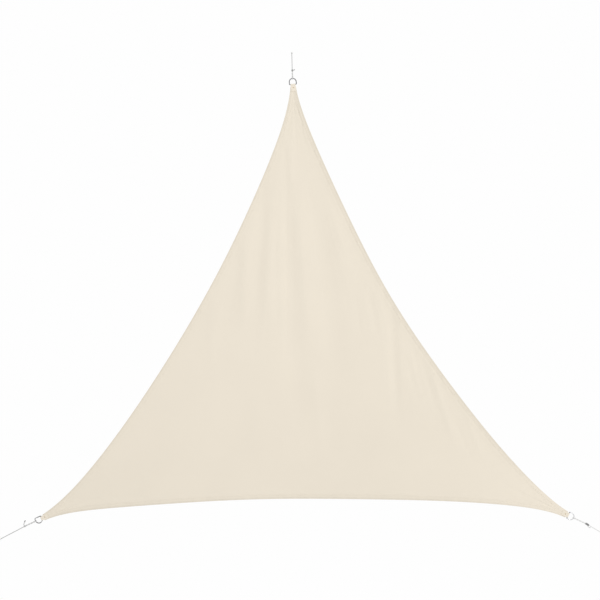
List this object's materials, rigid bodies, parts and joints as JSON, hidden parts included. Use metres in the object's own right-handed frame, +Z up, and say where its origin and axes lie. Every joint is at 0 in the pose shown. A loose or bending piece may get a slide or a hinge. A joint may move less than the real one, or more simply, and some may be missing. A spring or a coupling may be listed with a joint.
{
  "type": "triangular shade sail with rings and ropes",
  "caption": "Triangular cloth shade sail with hollow hemmed edges, drawn out to narrow tips that carry webbing loops, steel D-rings and taut ropes.",
  "frame": {"origin": "middle of the stopper knot at the end of the top rope, where something left out holds the sail up", "axes": "+Z up, +X to the right of someone who faces the sail, +Y away from them, so the sail hangs in the XZ plane"},
  "size_m": [4.1952, 0.058, 3.3725],
  "materials": {
    "cloth": "cream woven polyester, matt",
    "webbing": "cream flat woven webbing",
    "steel": "polished stainless rod",
    "rope": "light grey braided cord"
  },
  "bodies": {
    "root": {"sail_cloth": "cloth", "webbing_loop_top": "webbing", "webbing_loop_left": "webbing", "webbing_loop_right": "webbing", "d_ring_top": "steel", "d_ring_left": "steel", "d_ring_right": "steel", "rope_turn_top": "rope", "rope_turn_left": "rope", "rope_turn_right": "rope", "knot_top": "rope", "knot_left": "rope", "knot_right": "rope", "rope_tail_top": "rope", "rope_tail_left": "rope", "rope_tail_right": "rope", "rope_top": "rope", "rope_left": "rope", "rope_right": "rope", "end_knot_top": "rope", "end_knot_left": "rope", "end_knot_right": "rope"}
  },
  "joints": []
}
